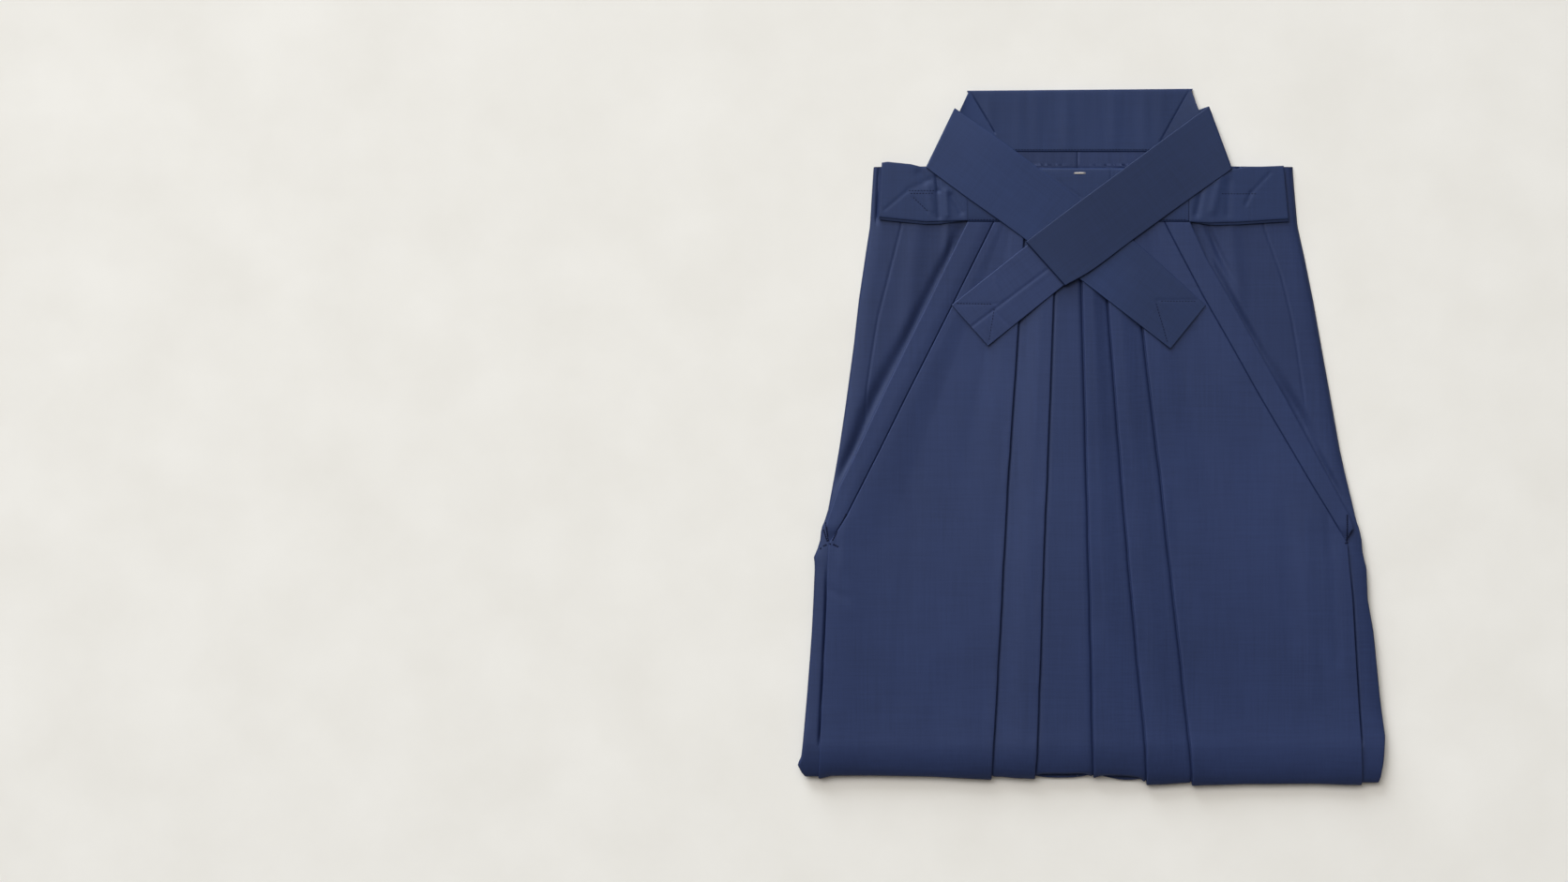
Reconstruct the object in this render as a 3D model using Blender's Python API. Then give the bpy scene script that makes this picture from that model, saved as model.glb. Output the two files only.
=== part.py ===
"""Hakama trousers, folded flat: the lower quarter is turned under and the ties are laid on top.

The garment lies on z = 0 with its waist towards +Y, its bottom fold towards -Y and its front up.
The origin is under the middle of its outline. Sizes below are in millimetres; the meshes are made
in metres. Left and right are as seen from above with the waist at the top.
"""
import math

import bmesh
import bpy
from mathutils import Vector
import numpy as np

MM = 0.001
LEFT, RIGHT = -1, 1

# Cloth
WALL = 1.0                 # wall of a panel
TIE_WALL = 1.2             # wall of a tie, which is a flattened tube of cloth
GAP = 0.3                  # clearance between pieces, and between the layers of one fold
STEP = WALL + GAP          # rise from one layer to the layer on it
TURN_RADIUS = STEP / 2     # middle of the wall, round a fold in a panel
TIE_TURN_RADIUS = (TIE_WALL + GAP) / 2

# Places along the garment, measured up from its middle
KOSHI_TOP = 401.2
KOSHI_FOOT = 329.9
WAISTBAND_TOP = 311.0
WAISTBAND_FOOT = 248.9
PANEL_TOP = WAISTBAND_FOOT - GAP
CORE_SHOULDER = 306.0      # hidden layers keep their full width up to here
OPENING_FOOT = -122.0      # bottom of the side openings
BEND_Y = -384.0            # axis of the bottom fold
BEND_Z = 7.5
BEND_RADIUS = 6.0          # of the hidden layers round the bottom fold

# Places across the garment
BACK_SEAM_X = -15.7
WAISTBAND_LEFT, WAISTBAND_RIGHT = -147.4, 105.3
NECK_LEFT, NECK_RIGHT = -100.0, 76.0   # back panels between the two waistbands

# Heights above the hidden layers, to the middle of the wall
BACK_LEVEL = GAP + WALL / 2
FRONT_BASE = 2 * GAP + WALL            # underside of the front panels
LOW = FRONT_BASE + WALL / 2            # the three layers of a pleat
MID = LOW + STEP
TOP = MID + STEP
FRONT_SKIN = TOP + WALL / 2            # highest cloth of the front panels
DIP = 2.2                              # how far a broad panel settles between its folds
DIP_SLOPE = 0.02

KOSHI_HEIGHT = 6.0

# Thickness of the hidden layers
# y, height
STACK = (
    (BEND_Y, 13.5),
    (-362.0, 13.0),
    (-340.0, 12.0),
    (-250.0, 12.0),
    (-150.0, 11.0),
    (-20.0, 7.5),
    (100.0, 5.5),
    (PANEL_TOP, 4.5),
)

# Height of the underside of the hidden layers, which lifts off the floor at the bottom fold
# y, height
UNDERSIDE = (
    (BEND_Y, 1.5),
    (-362.0, 0.3),
    (-340.0, 0.0),
)

# Outer edges of the back panels, wider below the openings where the turned-up hem lies inside
# y, left, right
OUTLINE = (
    (-395.0, -331.0, 331.0),
    (-376.0, -336.5, 335.0),
    (-346.0, -334.5, 336.5),
    (-300.0, -331.0, 330.5),
    (-187.0, -322.5, 316.5),
    (-136.0, -319.5, 313.0),
    (OPENING_FOOT, -312.5, 309.5),
    (-104.0, -311.0, 305.5),
    (-68.0, -305.0, 297.5),
    (20.0, -294.5, 281.0),
    (115.0, -280.5, 261.0),
    (190.0, -266.5, 245.5),
    (249.0, -255.5, 236.0),
    (313.0, -251.0, 236.0),
)

# Side openings: outer edge of the hem strip and fold edge of the panel that lies over it.
# Below the opening the strip is tucked just inside the fold.
# y, left strip, left fold, right strip, right fold
OPENINGS = (
    (-392.0, -312.2, -313.7, 313.5, 315.0),
    (OPENING_FOOT, -301.0, -302.5, 297.0, 298.5),
    (-104.0, -308.0, -294.0, 303.0, 287.5),
    (PANEL_TOP, -147.7, -125.5, 106.0, 71.0),
)
OPENING_HEM_DEPTH = 6.0

# Pleats of the front: x of the fold edge at the bottom fold and at the waist, and the depth that
# is folded under there. Two fold edges face right and three face left, about a deep centre strip.
# name, faces, bottom x, waist x, bottom depth, waist depth
PLEATS = (
    ("a", RIGHT, -115.0, -78.0, 20.0, 12.0),
    ("b", RIGHT, -64.3, -41.6, 20.0, 12.0),
    ("c", LEFT, 1.6, -13.4, 20.0, 12.0),
    ("d", LEFT, 59.5, 13.5, 20.0, 12.0),
    ("e", LEFT, 110.9, 45.7, 20.0, 12.0),
)

# How far the right half of the front hangs past the left one at the bottom fold
# x, drop
TAIL = (
    (2.0, 0.5),
    (60.0, 5.0),
    (115.0, 6.0),
)

# Rows of points down a panel, and the angles of the rows round the bottom fold
ROW_Y = (215.0, 180.0, 140.0, 100.0, 60.0, 20.0, -20.0, -68.0, -104.0, OPENING_FOOT, -136.0,
         -150.0, -200.0, -250.0, -300.0, -340.0, -362.0, BEND_Y)
BEND_ANGLES = (67.5, 45.0, 22.5, 0.0, -20.0, -38.0)
CORE_BEND_ANGLES = (67.5, 45.0, 22.5)

# Side of the hidden layers: three rounded folds of cloth one on the other
# share of the height, inset from the outline
RIDGES = (
    (0.00, 3.6),
    (0.06, 2.4),
    (0.16, 1.8),
    (0.27, 2.4),
    (0.33, 4.6),
    (0.40, 2.2),
    (0.50, 1.5),
    (0.60, 2.2),
    (0.67, 4.6),
    (0.74, 2.6),
    (0.84, 1.7),
    (0.94, 2.4),
    (1.00, 4.2),
)

# Rolled outer edge of a back panel: inwards from the outline, height above the hidden layers
ROLLED_EDGE = (
    (0.5, -1.6),
    (0.5, -0.7),
    (1.1, 0.35),
    (2.4, BACK_LEVEL),
)

# Rounded long edges of the two waistbands: distance in from the edge, drop below the middle
BAND_EDGE = (
    (0.0, 1.8),
    (0.9, 0.7),
    (2.6, 0.15),
    (6.0, 0.0),
)

# Back ties. Each row crosses the tie from its upper edge to its lower edge; lift is the height of
# the tie over the level of the front's pleats, which is 0 where it lies straight on the front.
# upper x, upper y, upper lift, lower x, lower y, lower lift
LEFT_TIE_ROOT = (
    (-140.7, 399.6, -6.1, -104.0, 331.7, -6.1),
    (-155.0, 376.9, -3.0, -188.7, 314.4, -1.5),
)
LEFT_TIE = (
    (-155.0, 376.9, -1.5, -188.7, 313.6, 0.0),
    (-109.6, 346.1, 0.0, -145.3, 279.2, 0.0),
    (-64.3, 312.7, 0.0, -102.1, 246.8, 0.0),
    (-15.7, 275.9, 0.0, -56.7, 213.3, 0.0),
    (48.1, 227.3, 0.0, -10.3, 179.8, 0.0),
    (131.2, 152.8, 0.0, 90.2, 102.1, 0.0),
)
RIGHT_TIE_ROOT = (
    (114.7, 400.7, -6.1, 78.2, 331.7, -6.1),
    (133.4, 381.8, -3.0, 158.0, 316.0, -1.5),
)
RIGHT_TIE = (
    (133.4, 381.8, -1.5, 158.0, 315.2, 0.0),
    (81.5, 342.9, 0.0, 105.3, 271.6, 0.0),
    (27.5, 302.9, 1.5, 47.0, 227.3, 1.6),
    (-26.5, 263.0, 3.0, 0.5, 192.8, 3.0),
    (-75.1, 226.3, 3.0, -29.7, 175.5, 3.0),
)
RIGHT_TIE_RETURN = (
    (-75.1, 226.3, 1.5, -29.7, 175.5, 1.5),
    (-52.0, 243.8, 1.5, -15.0, 184.0, 1.5),
)
RIGHT_TIE_END = (
    (-73.0, 223.0, 0.0, -24.5, 181.3, 0.0),
    (-161.5, 152.8, 0.0, -119.3, 105.3, 0.0),
)
TIE_ROW_LENGTH = 18.0
TIES_CROSS = Vector((0.0, 270.0, 0.0))   # every fold in a tie faces away from here

# Front ties, folded to and fro behind the waistband: outer fold, and the edges along it
# x, foot y, top y
LEFT_TIE_STACK = ((-243.5, 254.3, 315.5), (-190.6, 248.6, 310.5), (-148.0, 249.5, 310.5))
RIGHT_TIE_STACK = ((105.8, 249.5, 310.6), (135.5, 246.2, 310.6), (157.0, 247.2, 311.4),
                   (225.5, 251.1, 314.8))
STACK_STAGGER = 2.5        # how far the lower layers show below the top one
STAGGER_FADE = 30.0

# kind of cloth: linear colour, roughness
CLOTHS = {
    "panel": ((0.026, 0.042, 0.115), 0.62),
    "band": ((0.028, 0.046, 0.122), 0.58),
    "tie": ((0.030, 0.050, 0.130), 0.56),
    "hidden": ((0.018, 0.028, 0.080), 0.70),
}


def along(table, column, place):
    """The value in a column of a table whose first column rises, at a place between its rows."""
    return float(np.interp(place, [row[0] for row in table], [row[column] for row in table]))


def outline_x(y, side):
    return along(OUTLINE, 1 if side == LEFT else 2, y)


def stations(top_rows):
    """Rows down a panel as (y, angle): 90 degrees on the flat, less round the bottom fold."""
    flat = [(y, 90.0) for y in top_rows + ROW_Y]
    return flat + [(BEND_Y - BEND_RADIUS * math.cos(math.radians(a)), a) for a in BEND_ANGLES]


def lay(x, height, station, drop=0.0):
    """The point at a height above the hidden layers, on the flat or round the bottom fold."""
    y, angle = station
    if angle == 90.0:
        return x, y, along(STACK, 1, y) + height
    turn = math.radians(angle)
    reach = BEND_RADIUS + height
    return x, BEND_Y - (reach + drop) * math.cos(turn), BEND_Z + reach * math.sin(turn)


def material(kind):
    colour, roughness = CLOTHS[kind]
    cloth = bpy.data.materials.new(kind)
    cloth.use_nodes = True
    shader = cloth.node_tree.nodes["Principled BSDF"]
    shader.inputs["Base Color"].default_value = (*colour, 1.0)
    shader.inputs["Roughness"].default_value = roughness
    shader.inputs["Metallic"].default_value = 0.0
    return cloth


def body(name, kind, upper, lower):
    """One closed body between two grids of points, which have the same rows and columns."""
    rows, columns = len(upper), len(upper[0])
    mesh_data = bmesh.new()
    over = [[mesh_data.verts.new(Vector(point) * MM) for point in row] for row in upper]
    under = [[mesh_data.verts.new(Vector(point) * MM) for point in row] for row in lower]
    for r in range(rows - 1):
        for grid in (over, under):
            for c in range(columns - 1):
                mesh_data.faces.new((grid[r][c], grid[r + 1][c], grid[r + 1][c + 1], grid[r][c + 1]))
        for c in (0, columns - 1):
            mesh_data.faces.new((over[r][c], under[r][c], under[r + 1][c], over[r + 1][c]))
    for r in (0, rows - 1):
        for c in range(columns - 1):
            mesh_data.faces.new((over[r][c], over[r][c + 1], under[r][c + 1], under[r][c]))
    bmesh.ops.recalc_face_normals(mesh_data, faces=mesh_data.faces)
    if mesh_data.calc_volume(signed=True) < 0.0:
        bmesh.ops.reverse_faces(mesh_data, faces=mesh_data.faces)
    mesh = bpy.data.meshes.new(name)
    mesh_data.to_mesh(mesh)
    mesh_data.free()
    mesh.materials.append(material(kind))
    mesh.shade_smooth()
    mesh.set_sharp_from_angle(angle=math.radians(40.0))
    piece = bpy.data.objects.new(name, mesh)
    bpy.context.scene.collection.objects.link(piece)
    return piece


def wall_sides(path, wall):
    """Both sides of a wall of cloth whose middle follows a path of (across, height) points."""
    points = [Vector(point) for point in path]
    steps = [(b - a).normalized() for a, b in zip(points, points[1:])]
    normals = [Vector((-step.y, step.x)) for step in steps]
    normals = [normals[0]] + normals + [normals[-1]]
    over, under = [], []
    for point, before, after in zip(points, normals, normals[1:]):
        mitre = (before + after) / (1.0 + before.dot(after)) * (wall / 2)
        over.append(point + mitre)
        under.append(point - mitre)
    return over, under


def fold(edge_x, faces, depth):
    """The middle of a wall folded in three layers, from left to right, with its edge at edge_x."""
    centre = -WALL / 2 - TURN_RADIUS
    turn = [(centre + TURN_RADIUS * math.cos(math.radians(a)),
             (MID + TOP) / 2 + TURN_RADIUS * math.sin(math.radians(a))) for a in (90, 30, -30, -90)]
    path = [(-depth - 2.0, TOP)] + turn + [(-depth, MID), (-depth, LOW), (0.0, LOW)]
    if faces == LEFT:
        path = [(-x, height) for x, height in reversed(path)]
    return [(edge_x + x, height) for x, height in path]


def pleat(name, y):
    """One pleat's layers at a place along the garment."""
    for pleat_name, faces, bottom_x, waist_x, bottom_depth, waist_depth in PLEATS:
        if pleat_name == name:
            share = (y - BEND_Y) / (PANEL_TOP - BEND_Y)
            edge = bottom_x + (waist_x - bottom_x) * share
            return fold(edge, faces, bottom_depth + (waist_depth - bottom_depth) * share)
    raise ValueError(name)


def broad(start, end):
    """Two points where a broad stretch of cloth settles between the ends of its folds."""
    width = end[0] - start[0]
    height = TOP - min(DIP, width * DIP_SLOPE)
    return [(start[0] + width * share, height) for share in (0.3, 0.7)]


def front_left_path(y):
    strip, edge = along(OPENINGS, 1, y), along(OPENINGS, 2, y)
    opening = [(strip, LOW)] + fold(edge, LEFT, OPENING_HEM_DEPTH)[1:]
    pleat_a, pleat_b = pleat("a", y), pleat("b", y)
    tucked_end = pleat("c", y)[1][0] - GAP - WALL
    return opening + broad(opening[-1], pleat_a[0]) + pleat_a + pleat_b + [(tucked_end, LOW)]


def front_right_path(y):
    strip, edge = along(OPENINGS, 3, y), along(OPENINGS, 4, y)
    opening = fold(edge, RIGHT, OPENING_HEM_DEPTH)[:-1] + [(strip, LOW)]
    pleat_c = pleat("c", y)[2:]
    pleat_d, pleat_e = pleat("d", y), pleat("e", y)
    return pleat_c + pleat_d + pleat_e + broad(pleat_e[-1], opening[0]) + opening


def front_panel(name, path_at, drop_at):
    upper, lower = [], []
    for station in stations((PANEL_TOP,)):
        over, under = wall_sides(path_at(station[0]), WALL)
        upper.append([lay(x, h, station, drop_at(x)) for x, h in over])
        lower.append([lay(x, h, station, drop_at(x)) for x, h in under])
    body(name, "panel", upper, lower)


def back_panel(name, side):
    """Half of the back: narrow between the waistbands, then out to the outline with a rolled edge."""
    neck_top, neck_foot = KOSHI_FOOT - GAP, WAISTBAND_TOP + 3.0
    neck_x = NECK_LEFT if side == LEFT else NECK_RIGHT
    upper, lower = [], []
    for station in stations((neck_top, neck_foot, WAISTBAND_TOP + 1.5, PANEL_TOP)):
        edge = neck_x if station[0] >= neck_foot else outline_x(station[0], side)
        path = [(edge - side * inwards, height) for inwards, height in ROLLED_EDGE]
        path.append((BACK_SEAM_X + side * GAP / 2, BACK_LEVEL))
        if side == RIGHT:
            path.reverse()
        over, under = wall_sides(path, WALL)
        upper.append([lay(x, h, station) for x, h in over])
        lower.append([lay(x, h, station) for x, h in under])
    body(name, "panel", upper, lower)


def hidden_layers():
    """Everything folded inside: one solid with a flat underside, layered and rounded at its edges."""
    rows = [(KOSHI_FOOT - 1.0, NECK_LEFT, NECK_RIGHT), (CORE_SHOULDER + 3.5, NECK_LEFT, NECK_RIGHT)]
    rows += [(y, outline_x(y, LEFT), outline_x(y, RIGHT)) for y in (CORE_SHOULDER, PANEL_TOP) + ROW_Y]
    sections = [(y, left, right, along(UNDERSIDE, 1, y), along(STACK, 1, y))
                for y, left, right in rows]
    for angle in CORE_BEND_ANGLES:
        turn = math.radians(angle)
        y, half = BEND_Y - BEND_RADIUS * math.cos(turn), BEND_RADIUS * math.sin(turn)
        inset = BEND_RADIUS - half
        sections.append((y, outline_x(y, LEFT) + inset, outline_x(y, RIGHT) - inset,
                         BEND_Z - half, BEND_Z + half))
    left_side = [[(left + inset, y, low + (high - low) * share) for share, inset in RIDGES]
                 for y, left, right, low, high in sections]
    right_side = [[(right - inset, y, low + (high - low) * share) for share, inset in RIDGES]
                  for y, left, right, low, high in sections]
    body("hidden_layers", "hidden", left_side, right_side)


def band(name, corners, floor, height, columns):
    """A waistband between two straight edges, rounded along both.

    The corners are (x, y): foot left, foot right, top left, top right.
    """
    foot_left, foot_right, top_left, top_right = [Vector(corner) for corner in corners]
    upper, lower = [], []
    for c in range(columns):
        share = c / (columns - 1)
        foot, top = foot_left.lerp(foot_right, share), top_left.lerp(top_right, share)
        span = (top - foot).length
        edge = [(inwards / span, drop) for inwards, drop in BAND_EDGE]
        profile = edge + [(1.0 - place, drop) for place, drop in reversed(edge)]
        points = [(foot.lerp(top, place), drop) for place, drop in profile]
        upper.append([(point.x, point.y, floor + height - drop) for point, drop in points])
        lower.append([(point.x, point.y, floor) for point, drop in points])
    body(name, "band", upper, lower)


def tie_stack(name, side, edges):
    """A front tie folded to and fro on itself beside the waistband, its fold facing outwards."""
    outer, inner = (edges[0][0], edges[-1][0]) if side == LEFT else (edges[-1][0], edges[0][0])
    depth = abs(outer - inner) - 4.0
    path = fold(outer, side, depth)
    if side == LEFT:
        path = [(outer + 3.0, LOW)] + path[1:-1] + [(inner, TOP)]
    else:
        path = [(inner, TOP)] + path[1:-1] + [(outer - 3.0, LOW)]
    over, under = wall_sides(path, WALL)
    base = along(STACK, 1, PANEL_TOP)
    grids = []
    for share in (0.0, 0.5, 1.0):
        row = []
        for points in (over, under):
            placed = []
            for x, height in points:
                stagger = STACK_STAGGER * (TOP + WALL / 2 - height) / (TOP - LOW + WALL)
                stagger *= min(1.0, abs(x - inner) / STAGGER_FADE)
                foot, top = along(edges, 1, x) - stagger, along(edges, 2, x)
                placed.append((x, foot + (top - foot) * share, base + height))
            row.append(placed)
        grids.append(row)
    body(name, "tie", [row[0] for row in grids], [row[1] for row in grids])


def tie_rows(table):
    """Rows of a tie's table, filled in so that the tie follows what it lies on."""
    def point(x, y, lift):
        return Vector((x, y, along(STACK, 1, y) + FRONT_SKIN + GAP + TIE_WALL / 2 + lift))

    rows = []
    for first, second in zip(table, table[1:]):
        first, second = np.array(first), np.array(second)
        count = max(1, round(float(np.hypot(*(second - first)[:2])) / TIE_ROW_LENGTH))
        rows += [first + (second - first) * i / count for i in range(count)]
    rows.append(np.array(table[-1]))
    return [(point(*row[:3]), point(*row[3:])) for row in rows]


def turn_rows(first, second):
    """Rows round the fold between two legs of a tie, whose end rows lie one over the other."""
    across = (first[0] - first[1]).normalized()
    outwards = Vector((across.y, -across.x, 0.0))
    if outwards.dot((first[0] + first[1]) / 2 - TIES_CROSS) < 0.0:
        outwards.negate()
    rows = []
    for angle in (-45.0, 0.0, 45.0):
        turn = math.radians(angle)
        share = (1.0 + math.sin(turn)) / 2
        rows.append(tuple(a.lerp(b, share) + outwards * TIE_TURN_RADIUS * math.cos(turn)
                          for a, b in zip(first, second)))
    return rows


def ribbon(name, rows):
    """A tie's wall along rows of (upper edge, lower edge) points at its middle."""
    upper, lower, normals = [], [], []
    for index, (start, end) in enumerate(rows):
        before = rows[max(index - 1, 0)]
        after = rows[min(index + 1, len(rows) - 1)]
        ahead = (after[0] + after[1]) - (before[0] + before[1])
        normal = (end - start).cross(ahead).normalized()
        if normals and normal.dot(normals[-1]) < 0.0:
            normal.negate()
        normals.append(normal)
        offset = normal * TIE_WALL / 2
        upper.append([start + offset, end + offset])
        lower.append([start - offset, end - offset])
    body(name, "tie", upper, lower)


def back_ties():
    root, leg = tie_rows(LEFT_TIE_ROOT), tie_rows(LEFT_TIE)
    ribbon("back_tie_left", root + turn_rows(root[-1], leg[0]) + leg)
    root, leg = tie_rows(RIGHT_TIE_ROOT), tie_rows(RIGHT_TIE)
    back = tie_rows(RIGHT_TIE_RETURN)
    ribbon("back_tie_right", root + turn_rows(root[-1], leg[0]) + leg
           + turn_rows(leg[-1], back[0]) + back)
    ribbon("back_tie_right_end", tie_rows(RIGHT_TIE_END))


def main():
    for thing in list(bpy.data.objects):
        bpy.data.objects.remove(thing, do_unlink=True)
    hidden_layers()
    back_panel("back_panel_left", LEFT)
    back_panel("back_panel_right", RIGHT)
    front_panel("front_panel_left", front_left_path, lambda x: 0.0)
    front_panel("front_panel_right", front_right_path, lambda x: along(TAIL, 1, x))
    stack_at_waist = along(STACK, 1, PANEL_TOP)
    band("front_waistband",
         ((WAISTBAND_LEFT, WAISTBAND_FOOT), (WAISTBAND_RIGHT, WAISTBAND_FOOT),
          (WAISTBAND_LEFT, WAISTBAND_TOP), (WAISTBAND_RIGHT, WAISTBAND_TOP)),
         stack_at_waist + FRONT_BASE, FRONT_SKIN - FRONT_BASE, 9)
    band("back_waistband",
         ((-102.1, KOSHI_FOOT), (76.1, KOSHI_FOOT), (-139.9, KOSHI_TOP), (113.9, KOSHI_TOP)),
         0.0, KOSHI_HEIGHT, 9)
    tie_stack("front_tie_left", LEFT, LEFT_TIE_STACK)
    tie_stack("front_tie_right", RIGHT, RIGHT_TIE_STACK)
    back_ties()


main()
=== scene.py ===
"""The looks of the folded hakama: cloth shells, stitching, finish, floor, light and camera.

Sizes are in millimetres in the frame's own axes, and meshes are made in metres. The garment lies
front up on z = 0 with its waist towards +Y. Every shell follows the form of the node it stands for.
"""
import math

import bpy
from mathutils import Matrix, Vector
from mathutils.bvhtree import BVHTree
import numpy as np


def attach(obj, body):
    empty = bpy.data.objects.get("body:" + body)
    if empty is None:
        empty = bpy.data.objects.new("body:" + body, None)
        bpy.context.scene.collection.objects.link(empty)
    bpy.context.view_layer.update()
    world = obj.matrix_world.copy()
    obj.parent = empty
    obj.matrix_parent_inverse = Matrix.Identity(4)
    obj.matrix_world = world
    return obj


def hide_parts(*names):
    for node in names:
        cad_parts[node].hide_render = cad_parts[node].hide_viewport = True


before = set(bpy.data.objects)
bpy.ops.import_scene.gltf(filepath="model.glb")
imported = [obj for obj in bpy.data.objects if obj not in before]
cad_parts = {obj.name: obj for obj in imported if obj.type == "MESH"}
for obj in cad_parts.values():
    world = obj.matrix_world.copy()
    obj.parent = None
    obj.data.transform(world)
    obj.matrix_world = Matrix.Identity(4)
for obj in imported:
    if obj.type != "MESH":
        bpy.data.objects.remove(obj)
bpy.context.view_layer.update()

MM = 0.001
LEFT, RIGHT = -1, 1

# Cloth
WALL = 0.9
TIE_WALL = 1.6
GAP = 0.4
STEP = WALL + GAP
TURN_RADIUS = STEP / 2
TIE_TURN_RADIUS = (TIE_WALL + GAP) / 2
ROW_STEP = 5.0             # between rows of points along the garment

# Places along the garment, as in the frame
KOSHI_FOOT = 329.9
WAISTBAND_TOP = 311.0
WAISTBAND_FOOT = 248.9
PANEL_TOP = WAISTBAND_FOOT - 0.3
OPENING_FOOT = -122.0
BEND_Y = -384.0
BEND_Z = 7.5
BEND_RADIUS = 6.0
KOSHI_HEIGHT = 5.7         # of the back waistband above the floor
ROLL = 30.0                # how far the bottom fold's rounding reaches up the garment
ROLL_Y = BEND_Y + ROLL

# Places across the garment
BACK_SEAM_X = -15.7
WAISTBAND_LEFT, WAISTBAND_RIGHT = -143.0, 112.0
NECK_LEFT, NECK_RIGHT = -100.0, 76.0

# Heights above the hidden layers, to the middle of the wall
BACK_LEVEL = 0.2 + WALL / 2
FRONT_BASE = 1.6
LOW = FRONT_BASE + WALL / 2
MID = LOW + STEP
TOP = MID + STEP
FRONT_SKIN = TOP + WALL / 2
DIP = 1.7                  # how far a broad stretch of the front settles at most
DIP_SLOPE = 0.016          # how far for each millimetre of its width

# Thickness of the hidden layers
# y, height
STACK = (
    (ROLL_Y, 13.5),
    (-330.0, 12.6),
    (-300.0, 12.0),
    (-250.0, 12.0),
    (-150.0, 11.0),
    (-20.0, 7.5),
    (100.0, 5.5),
    (PANEL_TOP, 4.5),
)
STACK_SOFTNESS = 28.0

# y, height of the underside of the hidden layers
UNDERSIDE = (
    (ROLL_Y, 1.5),
    (-340.0, 0.3),
    (-325.0, 0.0),
)

# Outer edges of the back panels
# y, left, right
OUTLINE = (
    (-395.0, -329.0, 331.5),
    (-388.0, -334.8, 333.5),
    (-379.6, -338.9, 335.0),
    (-375.3, -337.7, 335.9),
    (-368.8, -334.9, 336.7),
    (-345.1, -332.4, 338.1),
    (-299.7, -328.4, 332.6),
    (-254.3, -324.8, 328.1),
    (-224.1, -322.7, 325.1),
    (-187.4, -320.8, 318.6),
    (-150.7, -319.3, 317.3),
    (-144.2, -319.6, 315.5),
    (-137.7, -320.4, 313.9),
    (-131.2, -316.9, 312.5),
    (-118.3, -312.9, 311.9),
    (-105.3, -311.7, 309.1),
    (-96.7, -307.9, 305.9),
    (-83.7, -303.8, 303.0),
    (-49.1, -297.3, 295.0),
    (-14.6, -291.2, 287.8),
    (37.3, -283.5, 278.8),
    (106.4, -274.1, 266.5),
    (158.2, -268.3, 257.3),
    (210.1, -260.6, 246.9),
    (244.6, -255.3, 239.3),
    (279.2, -253.3, 236.2),
    (313.0, -251.0, 233.5),
)

# Side openings: outer edge of the hem strip and fold edge of the panel over it
# y, left strip, left fold, right strip, right fold
OPENINGS = (
    (-392.0, -313.5, -315.0, 310.5, 312.0),
    (-360.0, -312.3, -313.8, 308.8, 310.3),
    (-317.0, -310.3, -311.8, 305.8, 307.3),
    (-252.0, -306.9, -308.4, 301.9, 303.4),
    (-187.0, -304.2, -305.7, 298.2, 299.7),
    (-144.0, -303.4, -304.9, 294.3, 295.8),
    (OPENING_FOOT, -302.0, -303.5, 292.6, 294.1),
    (-104.0, -307.5, -290.8, 301.5, 282.8),
    (-90.0, -302.9, -282.3, 296.2, 274.6),
    (-58.0, -291.8, -266.0, 279.2, 255.2),
    (-12.0, -269.0, -242.7, 254.3, 228.3),
    (50.0, -240.4, -212.0, 220.5, 192.0),
    (95.0, -218.7, -189.2, 195.6, 167.0),
    (160.0, -186.4, -156.5, 159.5, 130.0),
    (205.0, -164.6, -134.2, 133.5, 106.3),
    (PANEL_TOP, -143.0, -112.5, 113.6, 83.8),
)
OPENING_HEM_DEPTH = 6.0

# Pleats of the front
# name: faces, column of the lines below
PLEATS = {
    "a": (RIGHT, 1),
    "b": (RIGHT, 2),
    "c": (LEFT, 3),
    "d": (LEFT, 4),
    "e": (LEFT, 5),
}
PLEAT_DEPTH_BOTTOM, PLEAT_DEPTH_WAIST = 14.0, 9.0

# y, a, b, c, d, e
PLEAT_LINES = (
    (BEND_Y, -115.4, -64.9, 2.4, 63.4, 116.3),
    (-360.0, -114.0, -63.7, 1.5, 62.6, 113.3),
    (-252.0, -107.8, -59.7, -0.1, 52.3, 101.7),
    (-144.0, -102.2, -56.3, -2.9, 42.6, 89.7),
    (-36.0, -96.0, -51.5, -5.3, 34.0, 78.5),
    (72.0, -88.3, -47.3, -7.9, 26.0, 65.6),
    (PANEL_TOP, -77.0, -40.6, -12.5, 12.4, 46.2),
)

# How far each half of the front hangs past or short of the bottom fold
# x, drop
LEFT_TAIL = (
    (-313.0, -1.5),
    (-300.0, -4.5),
    (-260.0, -3.2),
    (-180.0, -2.0),
    (-120.0, -0.8),
    (-100.0, -1.5),
    (-66.0, -1.7),
    (-60.0, 0.3),
    (-30.0, 1.3),
    (0.0, -0.9),
)
RIGHT_TAIL = (
    (2.0, -2.6),
    (60.0, 5.2),
    (115.0, 6.0),
    (200.0, 7.0),
    (300.0, 6.0),
)

# Back ties: rows across each tie, as in the frame
# upper x, upper y, upper lift, lower x, lower y, lower lift
LEFT_TIE_ROOT = (
    (-141.0, 400.5, -6.1, -100.5, 331.9, -6.1),
    (-152.2, 376.3, -3.0, -189.6, 311.5, -1.5),
)
LEFT_TIE = (
    (-157.3, 379.6, -1.5, -190.3, 310.4, 0.0),
    (-109.6, 346.1, 0.0, -145.3, 277.2, 0.0),
    (-64.3, 312.7, 0.0, -102.1, 246.8, 0.0),
    (-15.7, 275.9, 0.0, -56.7, 213.3, 0.0),
    (48.1, 227.3, 0.0, -10.3, 179.8, 0.0),
    (131.2, 152.8, 0.0, 90.2, 102.1, 0.0),
)
RIGHT_TIE_ROOT = (
    (115.4, 402.4, -6.1, 74.7, 331.9, -6.1),
    (123.8, 378.0, -3.4, 160.4, 310.2, -1.5),
)
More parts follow.
